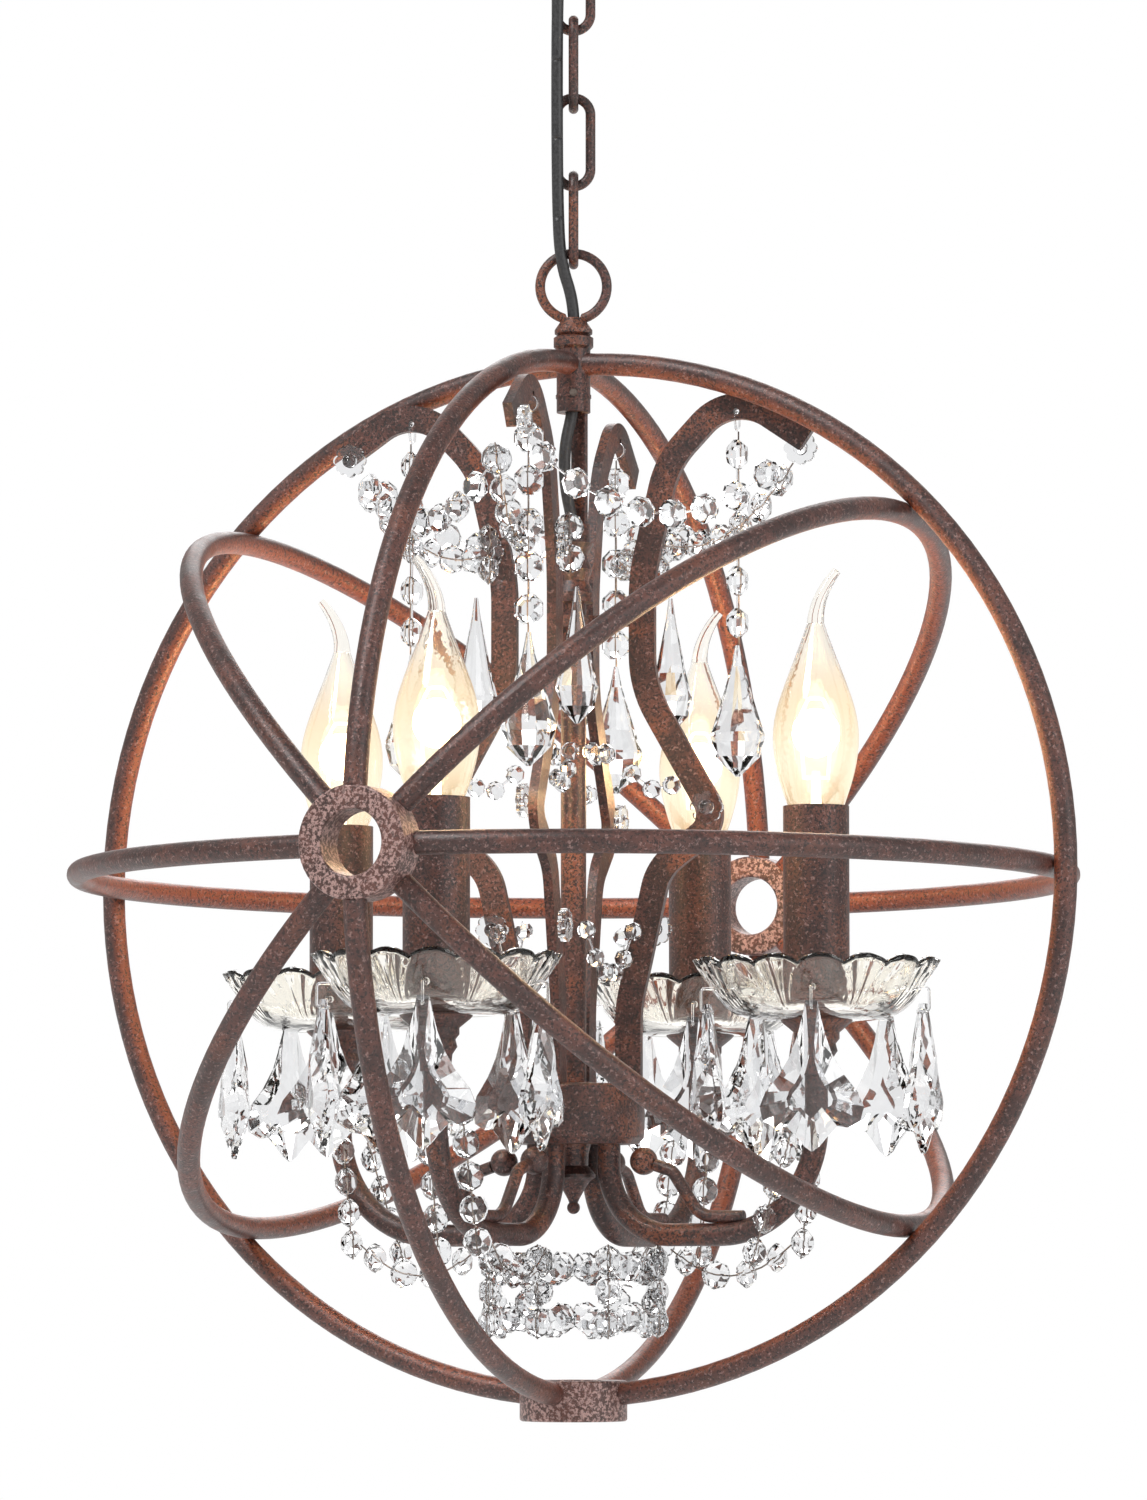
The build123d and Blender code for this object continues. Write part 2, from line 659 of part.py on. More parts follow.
SLEEVE_FOOT_Z = DISH_SEAT_Z + DISH_WALL + 2 * CLEAR
SLEEVE_FLOOR = 1.6
with BuildPart(Plane.XY.offset(SLEEVE_FOOT_Z)) as candle_sleeve:
    Cylinder(SLEEVE_OD / 2, SLEEVE_TOP_Z - SLEEVE_FOOT_Z, align=(Align.CENTER, Align.CENTER, Align.MIN))
    with Locations((0, 0, SLEEVE_FLOOR)):
        Cylinder(
            SLEEVE_OD / 2 - SLEEVE_WALL,
            SLEEVE_TOP_Z - SLEEVE_FOOT_Z,
            align=(Align.CENTER, Align.CENTER, Align.MIN),
            mode=Mode.SUBTRACT,
        )
    Cylinder(
        SPIGOT_D / 2 + FIT, 3 * SLEEVE_FLOOR, align=(Align.CENTER, Align.CENTER, Align.CENTER), mode=Mode.SUBTRACT
    )
for index, place in enumerate(candle_places, 1):
    write(copies(candle_sleeve.part, [place]), f"candle_sleeve_{index}")

HOLDER_TOP_Z = SLEEVE_TOP_Z - 12.0
CAP_FOOT_Z = HOLDER_TOP_Z - 22.0
CAP_TOP_Z = HOLDER_TOP_Z + 3.0
with BuildPart(Plane.XY.offset(SPIGOT_TOP_Z)) as lampholder:
    Cylinder(HOLDER_OD / 2, HOLDER_TOP_Z - SPIGOT_TOP_Z, align=(Align.CENTER, Align.CENTER, Align.MIN))
    with Locations((0, 0, CAP_FOOT_Z - SPIGOT_TOP_Z - 2)):
        Cylinder(HOLDER_BORE / 2, 60, align=(Align.CENTER, Align.CENTER, Align.MIN), mode=Mode.SUBTRACT)
    Cylinder(SPIGOT_BORE / 2, 40, mode=Mode.SUBTRACT)
write(copies(lampholder.part, candle_places), "lampholders")

with BuildPart() as bulb_cap:
    with BuildSketch(Plane.XZ):
        with BuildLine():
            cap_r = BULB_CAP_D / 2
            Polyline(
                (0, CAP_FOOT_Z),
                (2.2, CAP_FOOT_Z),
                (3.0, CAP_FOOT_Z + 1.5),
                (cap_r, CAP_FOOT_Z + 4),
                *[(cap_r - 0.6 * (i % 2), CAP_FOOT_Z + 5.0 + 1.6 * i) for i in range(9)],
                (cap_r, CAP_TOP_Z),
                (0, CAP_TOP_Z),
                close=True,
            )
        make_face()
    revolve(axis=Axis.Z)
write(copies(bulb_cap.part, candle_places), "bulb_caps")

GLASS_NECK_R = 8.0
TAIL_FOOT_Z = 101.0
TAIL_R = 3.6
TAIL_LEAN = 9.0


def bulb_outline(wall):
    """Half outline of the flame glass, drawn in by the wall for its inside."""
    z_low = CAP_TOP_Z + wall
    radius = BULB_D / 2 - wall
    with BuildLine() as line:
        rise = Spline(
            (GLASS_NECK_R - wall, z_low),
            (10.4 - wall, SLEEVE_TOP_Z - 3),
            (radius, 58.0),
            (radius - 6.2, 80.0),
            (TAIL_R - wall, TAIL_FOOT_Z),
        )
        Line(rise @ 1, (0, TAIL_FOOT_Z))
        Line((0, TAIL_FOOT_Z), (0, z_low))
        Line((0, z_low), rise @ 0)
    return line


with BuildPart() as bulb_glass:
    with BuildSketch(Plane.XZ):
        add(bulb_outline(0.0).line)
        make_face()
    revolve(axis=Axis.Z)
    tail_steps = 4
    tail_h = BULB_TIP_Z - TAIL_FOOT_Z
    for step in range(tail_steps):
        share = step / (tail_steps - 1)
        lean = math.degrees(math.atan2(2 * TAIL_LEAN * share, tail_h))
        tail_plane = Plane(
            origin=(TAIL_LEAN * share**2, 0, TAIL_FOOT_Z + tail_h * share),
            z_dir=(math.sin(math.radians(lean)), 0, math.cos(math.radians(lean))),
        )
        with BuildSketch(tail_plane):
            Circle(TAIL_R - 1.8 * share)
    loft()
    with BuildSketch(Plane.XZ):
        add(bulb_outline(BULB_WALL).line)
        make_face()
    revolve(axis=Axis.Z, mode=Mode.SUBTRACT)
BULB_TURNS = (-150.0, 35.0, 10.0, 200.0)  # the bent tips point different ways, as the bulbs were screwed in
bulb_places = [place * Location((0, 0, 0), (0, 0, turn)) for place, turn in zip(candle_places, BULB_TURNS)]
write(copies(bulb_glass.part, bulb_places), "bulb_glasses")

with BuildPart() as filament:
    with BuildSketch(Plane.XZ):
        with BuildLine():
            foot = CAP_TOP_Z + 2 * BULB_WALL
            Polyline((0, foot), (4.2, foot), (2.2, foot + 8), (1.6, 40), (0, 40), close=True)
        make_face()
    revolve(axis=Axis.Z)
    with BuildLine(Plane.XZ):
        wire = FilletPolyline((-5, 37), (-7, 62), (-3, 70), (3, 70), (7, 62), (5, 37), radius=2.0)
    with BuildSketch(Plane(origin=wire @ 0, z_dir=wire % 0)):
        Circle(0.7)
    sweep(path=wire)
    with BuildSketch(Plane.XZ):
        with Locations((0, 37.4)):
            Rectangle(11.4, 1.4)
    extrude(amount=0.7, both=True)
write(copies(filament.part, bulb_places), "bulb_filaments")


# ---------------------------------------------------------------- glass dishes and leaf drops
def dish_outline(outer):
    """Points of the dish's wall from its base to its rim, outside or inside."""
    wall = 0.0 if outer else DISH_WALL
    rim = DISH_D / 2
    return [
        (DISH_BASE_D / 2 - 0.4 * wall, DISH_SEAT_Z + wall),
        (rim - 15.0 - 0.8 * wall, DISH_SEAT_Z + 4.5 + wall),
        (rim - 6.8 - 0.9 * wall, DISH_SEAT_Z + 14.0 + 0.5 * wall),
        (rim - 1.0 * wall, DISH_SEAT_Z + DISH_H),
    ]


PIN_HOLE_Z = DISH_SEAT_Z + 12.5
with BuildPart() as glass_dish:
    with BuildSketch(Plane.XZ):
        with BuildLine():
            outside = Spline(*dish_outline(True))
            inside = Spline(*dish_outline(False))
            Line(outside @ 1, inside @ 1)
            Line(outside @ 0, (SPIGOT_D / 2 + CLEAR, DISH_SEAT_Z))
            Line((SPIGOT_D / 2 + CLEAR, DISH_SEAT_Z), (SPIGOT_D / 2 + CLEAR, DISH_SEAT_Z + DISH_WALL))
            Line((SPIGOT_D / 2 + CLEAR, DISH_SEAT_Z + DISH_WALL), inside @ 0)
        make_face()
    revolve(axis=Axis.Z)
    scallop_r = math.pi * DISH_D / SCALLOPS / 2
    with PolarLocations(DISH_D / 2, SCALLOPS):
        with Locations((0, 0, DISH_SEAT_Z + DISH_H + scallop_r - SCALLOP_DEPTH)):
            Cylinder(scallop_r, 30, rotation=(0, 90, 0), mode=Mode.SUBTRACT)
    with PolarLocations(DROP_RING_R, DROPS_PER_DISH):
        with Locations((0, 0, PIN_HOLE_Z)):
            Cylinder(PIN_HOLE_D / 2, 30, rotation=(0, 90, 0), mode=Mode.SUBTRACT)


def polygon_loft(levels, sides):
    """Cut crystal: regular polygons of these radii at these heights, joined by flat facets."""
    with BuildPart() as gem:
        for radius, height in levels:
            with BuildSketch(Plane.XY.offset(height)):
                RegularPolygon(radius, sides, rotation=180 / sides)
        loft(ruled=True)
    return gem


LEAF_EYE_Z = -3.4  # below the drop's top
LEAF_POINTS = [
    (2.4, 0.0),
    (3.6, -6.0),
    (5.6, -14.0),
    (8.4, -22.0),
    (13.0, -30.0),
    (18.6, -37.0),
    (LEAF_W / 2, -43.0),
    (19.6, -48.4),
    (14.4, -51.2),
    (10.2, -50.6),
    (6.6, -54.4),
    (2.8, -59.0),
    (0.0, -LEAF_H),
]
LEAF_HEART = (0.0, -38.0)


def leaf_outline(share):
    """Points of the leaf's outline, drawn in towards its heart."""
    right = [(x * share, LEAF_HEART[1] + (y - LEAF_HEART[1]) * share) for x, y in LEAF_POINTS]
    left = [(-x, y) for x, y in reversed(right[:-1])]
    return right + left


with BuildPart() as leaf_drop:
    for height, share in ((-LEAF_THICK / 2, 0.42), (-1.0, 1.0), (1.0, 1.0), (LEAF_THICK / 2, 0.42)):
        with BuildSketch(Plane.XY.offset(height)):
            with BuildLine():
                Polyline(*leaf_outline(share), close=True)
            make_face()
    loft(ruled=True)
    with Locations((0, LEAF_EYE_Z, 0)):
        Cylinder(PIN_HOLE_D / 2 - 0.3, LEAF_THICK, mode=Mode.SUBTRACT)

PIN_OUT = DROP_RING_R + 3.4
PIN_DROP = 9.5
with BuildPart() as drop_pin:
    with BuildLine(Plane.XZ):
        pin_line = FilletPolyline(
            (DROP_RING_R - 10.6, PIN_HOLE_Z),
            (PIN_OUT, PIN_HOLE_Z),
            (PIN_OUT, PIN_HOLE_Z - PIN_DROP),
            (PIN_OUT - 5.4, PIN_HOLE_Z - PIN_DROP),
            radius=1.6,
        )
    with BuildSketch(Plane(origin=pin_line @ 0, z_dir=pin_line % 0)):
        Circle(PIN_D / 2)
    sweep()
    with Locations(pin_line @ 0):
        Sphere(1.5)


def drop_plane(angle, radius, height):
    """Plane facing outward at this angle and radius, with its y up."""
    outward = Vector(math.cos(math.radians(angle)), math.sin(math.radians(angle)), 0)
    return Plane(
        origin=outward * radius + Vector(0, 0, height), x_dir=Vector(0, 0, 1).cross(outward) * 1, z_dir=outward
    )


LEAF_Z = PIN_HOLE_Z - PIN_DROP - LEAF_EYE_Z - 0.25
for index, place in enumerate(candle_places, 1):
    write(copies(glass_dish.part, [place]), f"glass_dish_{index}")
    dish_angles = [360.0 * i / DROPS_PER_DISH for i in range(DROPS_PER_DISH)]
    leaves = [place * at(drop_plane(a, PIN_OUT - 2.7, LEAF_Z)) for a in dish_angles]
    pins = [place * Location((0, 0, 0), (0, 0, a)) for a in dish_angles]
    drops = list(copies(leaf_drop.part, leaves).solids()) + list(copies(drop_pin.part, pins).solids())
    write(Compound(children=drops), f"leaf_drops_{index}")


# ---------------------------------------------------------------- beads
def octagon_bead(diameter, thick):
    """Cut bead, flat along its own Z, strung along its own X."""
    half = thick / 2
    radius = diameter / 2
    return polygon_loft([(radius * 0.55, -half), (radius, -0.9), (radius, 0.9), (radius * 0.55, half)], 8)


octagon = octagon_bead(OCTAGON_D, OCTAGON_THICK)
small_octagon = octagon_bead(SMALL_BEAD_D, SMALL_BEAD_THICK)


def swag_point(start, end, sag, share):
    """Point of a hanging strand between two points, sagging by this much in its middle."""
    return start + (end - start) * share - Vector(0, 0, 4 * sag * share * (1 - share))


def strand(start, end, sag, count, diameter, bead):
    """Beads strung evenly between two points, with a short wire link between neighbours."""
    span = end - start
    facing = span.cross(Vector(0, 0, 1))
    if facing.length < 1e-6 * span.length + 1e-9:
        facing = Vector(start.X, start.Y, 0)
    facing = facing.normalized()
    middles = [swag_point(start, end, sag, (i + 0.5) / count) for i in range(count)]
    solids = []
    for i, middle in enumerate(middles):
        before = middles[max(i - 1, 0)]
        after = middles[min(i + 1, count - 1)]
        along = (after - before).normalized() if count > 1 else span.normalized()
        solids.append(at(Plane(origin=middle, x_dir=along, z_dir=facing)) * bead.part.solid())
    reach = diameter * math.cos(math.pi / 8) / 2 + 0.25
    for first, second in zip(middles, middles[1:]):
        gap = (second - first).length - 2 * reach
        if gap > 0.4:
            step = (second - first).normalized()
            wire = Solid.make_cylinder(BEAD_LINK_D / 2, gap, Plane(origin=first + step * reach, z_dir=step))
            solids.append(wire)
    return solids


def polar(angle, radius, height):
    """Point at this angle and radius round the orb's axis."""
    return turned(angle, radius, height).origin


def neighbours(angles):
    """Each angle with the next one round."""
    return list(zip(angles, angles[1:] + angles[:1]))


TIP_R = LYRE_ROUTE[-1][0] - 3.0
TIP_Z = LYRE_ROUTE[-1][1] - 6.5
garlands = []
for first, second in neighbours(LYRE_ANGLES):
    garlands += strand(polar(first + 3.2, TIP_R - 6, TIP_Z - 3), polar(second - 3.2, TIP_R - 6, TIP_Z - 3), 26, 8, OCTAGON_D, octagon)
write(Compound(children=garlands), "tip_garlands")

with BuildPart() as rosette:
    with BuildSketch():
        with PolarLocations(4.6, 8):
            Circle(2.4)
        Circle(4.6)
    extrude(amount=1.6, both=True)
    Sphere(3.4)
ROSETTE_OFF = LYRE_THICK / 2 + 3.5
rosette_places = []
for angle in LYRE_ANGLES:
    for radius, height, side in ((TIP_R - 1, TIP_Z + 4, 1), (36.0, 138.0, 1), (34.0, -22.0, 1), (59.0, 28.0, -1)):
        spot = turned(angle, radius, height)
        rosette_places.append(at(spot.offset(-side * ROSETTE_OFF)))
write(copies(rosette.part, rosette_places), "lyre_rosettes")

with BuildPart() as strand_ring:
    with BuildSketch(Plane.XZ):
        with Locations((3.9, 0)):
            Circle(0.5)
    revolve(axis=Axis.Z)
teardrop = polygon_loft(
    [(0.9, 0), (2.6, -9), (TEAR_D * 0.36, -28), (TEAR_D / 2, -38), (TEAR_D * 0.4, -47), (1.0, -TEAR_H)], 8
)
STRAND_RING_Z = STRAND_HOLE_Z - 3.9
STRAND_TOP_Z = STRAND_RING_Z - 5.2
TEAR_TOP_Z = 96.0
for index, angle in enumerate(LYRE_ANGLES, 1):
    ring_spot = Plane(origin=polar(angle, STRAND_R, STRAND_RING_Z), z_dir=turned(angle, 0, 0).x_dir)
    beads = strand(polar(angle, STRAND_R, STRAND_TOP_Z), polar(angle, STRAND_R, TEAR_TOP_Z + 0.6), 0, 5, OCTAGON_D, octagon)
    drop = at(Plane(origin=polar(angle, STRAND_R, TEAR_TOP_Z))) * teardrop.part.solid()
    hook = at(ring_spot) * strand_ring.part.solid()
    write(Compound(children=[hook, *beads, drop]), f"teardrop_strand_{index}")

neck_teardrop = polygon_loft(
    [(0.8, 0), (2.2, -10), (NECK_TEAR_D * 0.36, -32), (NECK_TEAR_D / 2, -42), (NECK_TEAR_D * 0.4, -50), (0.8, -NECK_TEAR_H)], 8
)
NECK_DROP_R = 41.0
neck_places = [at(Plane(origin=polar(angle + 17, NECK_DROP_R, 118.0))) for angle in LYRE_ANGLES]
write(copies(neck_teardrop.part, neck_places), "neck_teardrops")

collar_beads = []
COLLAR_COUNT = 10
for i in range(COLLAR_COUNT):
    angle = 360.0 * i / COLLAR_COUNT
    spot = turned(angle, COLUMN_OD / 2 + SMALL_BEAD_THICK / 2 + 6.2, 52.0)
    collar_beads.append(at(Plane(origin=spot.origin, x_dir=spot.z_dir, z_dir=spot.x_dir)) * small_octagon.part.solid())
for angle in LYRE_ANGLES:
    collar_beads += strand(polar(angle + 12, 20.5, 50.0), polar(angle + 5, 46.0, 42.0), 9, 3, SMALL_BEAD_D, small_octagon)
for first, second in neighbours(LYRE_ANGLES):
    collar_beads += strand(polar(first + 21, 33.0, -16.0), polar(second - 21, 33.0, -16.0), 26, 6, SMALL_BEAD_D, small_octagon)
write(Compound(children=collar_beads), "column_beads")

BASKET_R = 38.0
BASKET_TOP_Z = ARM_LOW_Z - ARM_OD / 2 - 1.0
BASKET_LOW_Z = -186.0
basket = []
for angle in ARM_ANGLES:
    basket += strand(polar(angle, BASKET_R, BASKET_TOP_Z), polar(angle, BASKET_R, BASKET_LOW_Z), 0, 2, OCTAGON_D, octagon)
for first, second in neighbours(ARM_ANGLES):
    basket += strand(polar(first + 11, BASKET_R, -161.0), polar(second - 11, BASKET_R, -161.0), 4, 3, OCTAGON_D, octagon)
    basket += strand(polar(first + 11, BASKET_R, -181.0), polar(second - 11, BASKET_R, -181.0), 6, 3, OCTAGON_D, octagon)
write(Compound(children=basket), "bead_basket")
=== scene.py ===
"""Looks of the orb chandelier: materials, supply cable, lights, floor and camera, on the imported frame."""

import math

import bpy
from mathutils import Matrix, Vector


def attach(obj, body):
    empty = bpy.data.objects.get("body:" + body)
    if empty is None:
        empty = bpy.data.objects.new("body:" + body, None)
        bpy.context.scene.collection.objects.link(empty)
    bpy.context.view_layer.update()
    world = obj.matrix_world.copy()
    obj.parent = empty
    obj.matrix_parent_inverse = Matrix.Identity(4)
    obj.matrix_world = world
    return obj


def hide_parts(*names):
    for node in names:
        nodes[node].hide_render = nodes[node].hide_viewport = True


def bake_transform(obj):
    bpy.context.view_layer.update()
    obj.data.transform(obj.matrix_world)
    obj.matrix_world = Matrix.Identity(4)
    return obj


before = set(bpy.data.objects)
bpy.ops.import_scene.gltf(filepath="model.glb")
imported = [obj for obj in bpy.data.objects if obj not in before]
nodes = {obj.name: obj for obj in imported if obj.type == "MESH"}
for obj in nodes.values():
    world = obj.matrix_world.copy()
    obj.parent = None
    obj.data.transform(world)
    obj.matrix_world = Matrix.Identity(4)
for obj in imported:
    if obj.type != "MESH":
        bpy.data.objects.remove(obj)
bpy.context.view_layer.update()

ORB_Z = -0.4644  # the orb's centre
ORB_CENTRE = Vector((0, 0, ORB_Z))
CHAIN_TURN = math.radians(23.0)


def put_in_scene(obj):
    """Links an object to the scene's own collection."""
    bpy.context.scene.collection.objects.link(obj)
    return obj


def aim_at_orb(obj, place):
    """Puts a camera or lamp at a place, looking at the orb's centre."""
    obj.location = place
    obj.rotation_euler = (ORB_CENTRE - place).to_track_quat("-Z", "Y").to_euler()


# ---------------------------------------------------------------- camera
PHOTO_AZIMUTH = 23.0
PHOTO_DISTANCE = 2.451
PHOTO_ELEVATION = -3.89


def at_camera(angle, distance, elevation):
    """Point at this azimuth from the front hub, seen from the orb's centre."""
    a, e = math.radians(angle), math.radians(elevation)
    out = Vector((math.sin(a) * math.cos(e), -math.cos(a) * math.cos(e), math.sin(e)))
    return ORB_CENTRE + out * distance


cam_data = bpy.data.cameras.new("photo_camera")
cam = put_in_scene(bpy.data.objects.new("photo_camera", cam_data))
aim_at_orb(cam, at_camera(PHOTO_AZIMUTH, PHOTO_DISTANCE, PHOTO_ELEVATION))
cam_data.sensor_width = 36.0
cam_data.lens = 140.0
cam_data.shift_y = 0.085
cam_data.clip_end = 100.0
bpy.context.scene.camera = cam


# ---------------------------------------------------------------- small node helpers
class Nodes:
    """A material's node tree with short ways to add and join nodes."""

    def __init__(self, name):
        self.mat = bpy.data.materials.new(name)
        self.mat.use_nodes = True
        self.tree = self.mat.node_tree
        self.tree.nodes.clear()

    def add(self, kind, inputs=None, **props):
        node = self.tree.nodes.new(kind)
        for key, value in props.items():
            setattr(node, key, value)
        for key, value in (inputs or {}).items():
            if isinstance(value, bpy.types.NodeSocket):
                self.tree.links.new(value, node.inputs[key])
            else:
                node.inputs[key].default_value = value
        return node

    def math(self, operation, a, b):
        return self.add("ShaderNodeMath", {0: a, 1: b}, operation=operation).outputs[0]

    def mix(self, factor, a, b):
        node = self.add("ShaderNodeMix", data_type="RGBA")
        for key, value in ((0, factor), (6, a), (7, b)):
            if isinstance(value, bpy.types.NodeSocket):
                self.tree.links.new(value, node.inputs[key])
            elif key:
                node.inputs[key].default_value = (*value, 1.0)
            else:
                node.inputs[key].default_value = value
        return node.outputs[2]

    def noise(self, scale, detail=3.0, rough=0.6):
        inputs = {
            "Vector": self.add("ShaderNodeTexCoord").outputs["Object"],
            "Scale": scale,
            "Detail": detail,
            "Roughness": rough,
        }
        return self.add("ShaderNodeTexNoise", inputs).outputs["Fac"]

    def step(self, value, low, high):
        node = self.add("ShaderNodeMapRange", {"Value": value, "From Min": low, "From Max": high})
        node.interpolation_type = "SMOOTHSTEP"
        return node.outputs[0]

    def finish(self, shader):
        out = self.add("ShaderNodeOutputMaterial")
        self.tree.links.new(shader, out.inputs["Surface"])
        return self.mat


DARK_RUST = (0.040, 0.014, 0.011)
BROWN_RUST = (0.098, 0.033, 0.024)
ORANGE_RUST = (0.185, 0.052, 0.020)
# painted warm glow of the bulbs, for faces turned to the orb's inside
INNER_GLOW_ORANGE = (0.21, 0.046, 0.015)
# painted highlight: the pinkish-grey of lit tube edges, used for the grains below
HIGHLIGHT_PINK = (0.33, 0.205, 0.185)
BLACK_SPECK = (0.012, 0.006, 0.005)


def rusted_iron(name, pink, orange, inner=0.0, speck=0.9, highlight_start=0.55, dark=0.47):
    """Rust-brown iron with pinkish grains of painted highlight and black specks.

    pink, orange, inner and speck say how strongly the grains of painted highlight, the orange rust, the painted
    warm bulb glow on the orb's inside and the specks show; the last two arguments are the noise values where
    the highlight grains and the specks start.
    """
    n = Nodes(name)
    coarse = n.noise(70.0, 4.0, 0.6)
    grain = n.noise(620.0, 3.0, 0.7)
    fine = n.noise(900.0, 2.0, 0.7)
    colour = n.mix(n.step(coarse, 0.38, 0.66), DARK_RUST, BROWN_RUST)
    patches = n.step(n.noise(38.0, 3.0), 0.5, 0.68)
    colour = n.mix(n.math("MULTIPLY", patches, orange), colour, ORANGE_RUST)
    # painted bulb glow: faces turned towards the orb's centre are tinted orange
    if inner:
        geo = n.add("ShaderNodeTexCoord")
        from_centre = n.add(
            "ShaderNodeVectorMath", {0: geo.outputs["Object"], 1: (0, 0, ORB_Z)}, operation="SUBTRACT"
        )
        outward = n.add("ShaderNodeVectorMath", {0: from_centre.outputs[0]}, operation="NORMALIZE")
        facing = n.add(
            "ShaderNodeVectorMath", {0: outward.outputs[0], 1: geo.outputs["Normal"]}, operation="DOT_PRODUCT"
        )
        inside = n.step(facing.outputs["Value"], 0.1, -0.75)
        colour = n.mix(n.math("MULTIPLY", inside, inner), colour, INNER_GLOW_ORANGE)
    # pinkish grains in the painted highlight colour
    grains = n.step(grain, highlight_start, highlight_start + 0.11)
    colour = n.mix(n.math("MULTIPLY", grains, pink), colour, HIGHLIGHT_PINK)
    specks = n.math("MULTIPLY", n.step(fine, dark, dark - 0.06), speck)
    colour = n.mix(specks, colour, BLACK_SPECK)
    height = n.math("ADD", n.math("MULTIPLY", grain, 0.6), n.math("MULTIPLY", fine, 0.4))
    bump = n.add("ShaderNodeBump", {"Height": height, "Strength": 0.55, "Distance": 0.0006})
    rough = n.math("ADD", n.math("MULTIPLY", coarse, 0.35), 0.28)
    inputs = {
        "Base Color": colour,
        "Roughness": rough,
        "Normal": bump.outputs[0],
        "Metallic": 0.15,
        "Specular IOR Level": 0.65,
    }
    return n.finish(n.add("ShaderNodeBsdfPrincipled", inputs).outputs[0])


def clear_glass(name, tint, bump=90.0, glow=None, shadow=0.75):
    """Clear glass whose shadow lets this share of light through.

    glow gives three heights, low, peak and high, between which the glass shines warm.
    """
    n = Nodes(name)
    inputs = {
        "Base Color": (*tint, 1.0),
        "Roughness": 0.02,
        "IOR": 1.52,
        "Transmission Weight": 1.0,
        "Specular IOR Level": 0.7,
    }
    coords = n.add("ShaderNodeTexCoord").outputs["Object"]
    relief = n.add("ShaderNodeBump", {"Height": n.noise(bump, 2.0), "Strength": 0.08, "Distance": 0.0005})
    inputs["Normal"] = relief.outputs[0]
    glass = n.add("ShaderNodeBsdfPrincipled", inputs).outputs[0]
    if glow:
        z = n.add("ShaderNodeSeparateXYZ", {0: coords}).outputs[2]
        rising = n.step(z, glow[0], glow[1])
        falling = n.step(z, glow[2], glow[1])
        amount = n.math("MULTIPLY", rising, falling)
        warm = n.mix(amount, (1.0, 0.66, 0.30), (1.0, 0.88, 0.66))
        light = n.add("ShaderNodeEmission", {"Color": warm, "Strength": 1.15})
        share = n.math("MULTIPLY", amount, 0.42)
        glass = n.add("ShaderNodeMixShader", {0: share, 1: glass, 2: light.outputs[0]}).outputs[0]
    clear = n.add("ShaderNodeBsdfTransparent", {"Color": (shadow, shadow, shadow, 1)})
    ray = n.add("ShaderNodeLightPath")
    inputs = {0: ray.outputs["Is Shadow Ray"], 1: glass, 2: clear.outputs[0]}
    return n.finish(n.add("ShaderNodeMixShader", inputs).outputs[0])


def plain(name, dark, light, rough, metallic=0.0, scale=300.0, bump=0.2):
    """Moulded plastic, rubber or metal with wear: two close tones in a fine grain."""
    n = Nodes(name)
    grain = n.noise(scale, 4.0)
    colour = n.mix(n.step(grain, 0.35, 0.65), dark, light)
    relief = n.add("ShaderNodeBump", {"Height": grain, "Strength": bump, "Distance": 0.0003})
    roughness = n.math("ADD", n.math("MULTIPLY", grain, 0.2), rough - 0.1)
    inputs = {
        "Base Color": colour,
        "Roughness": roughness,
        "Metallic": metallic,
        "Normal": relief.outputs[0],
    }
    return n.finish(n.add("ShaderNodeBsdfPrincipled", inputs).outputs[0])


def glowing(name):
    """Filament that shines warm white, its tone varying in a fine grain."""
    n = Nodes(name)
    grain = n.noise(400.0)
    colour = n.mix(grain, (1.0, 0.70, 0.36), (1.0, 0.92, 0.74))
    return n.finish(n.add("ShaderNodeEmission", {"Color": colour, "Strength": 6.0}).outputs[0])


# ---------------------------------------------------------------- supply cable
def cable_point(right, near, height):
    """Point beside the chain, in metres, from mm to the right of it, nearer and above the orb's centre.

    Right and near are as seen from in front of the orb's loop.
    """
    x = right * math.cos(CHAIN_TURN) + near * math.sin(CHAIN_TURN)
    y = right * math.sin(CHAIN_TURN) - near * math.cos(CHAIN_TURN)
    return (x / 1000, y / 1000, height / 1000 + ORB_Z)


CABLE_ROUTE = [
    cable_point(0.4, -0.3, 447.0),
    cable_point(0.0, 0.0, 430.0),
    cable_point(0.0, 0.0, 413.5),
    cable_point(-5.6, 5.6, 397.5),
    cable_point(-6.8, 7.0, 372.0),
    cable_point(-7.0, 7.2, 330.0),
    cable_point(-6.7, 7.1, 286.0),
    cable_point(-5.6, 5.6, 260.4),
    cable_point(0.0, 0.0, 244.4),
    cable_point(0.2, -0.2, 227.0),
    cable_point(0.1, 0.0, 212.0),
    cable_point(-0.1, 0.1, 198.0),
    cable_point(-3.9, 1.2, 182.0),
    cable_point(-3.6, 0.9, 165.0),
    cable_point(0.0, 0.0, 149.0),
    cable_point(0.1, 0.0, 137.0),
]
CABLE_R = 0.0025


def spline_points(route):
    """Points read from one smooth spline with the route's points as its control points."""
    curve = bpy.data.curves.new("cable_line", "CURVE")
    curve.dimensions = "3D"
    curve.resolution_u = 12
    spline = curve.splines.new("NURBS")
    spline.points.add(len(route) - 1)
    for point, place in zip(spline.points, route):
        point.co = (*place, 1.0)
    spline.order_u = 3
    spline.use_endpoint_u = True
    line = put_in_scene(bpy.data.objects.new("cable_line", curve))
    bpy.context.view_layer.update()
    evaluated = line.evaluated_get(bpy.context.evaluated_depsgraph_get())
    mesh = bpy.data.meshes.new_from_object(evaluated)
    points = [v.co.copy() for v in mesh.vertices]
    bpy.data.objects.remove(line)
    return points


def cut(points, high, low):
    """The stretch of a falling line between two heights, with its ends exactly there."""
    stretch = []
    for a, b in zip(points, points[1:]):
        for height in (high, low):
            if a.z > height > b.z:
                stretch.append(a.lerp(b, (a.z - height) / (a.z - b.z)))
        if high >= b.z >= low:
            stretch.append(b)
    stretch.sort(key=lambda p: -p.z)
    return stretch


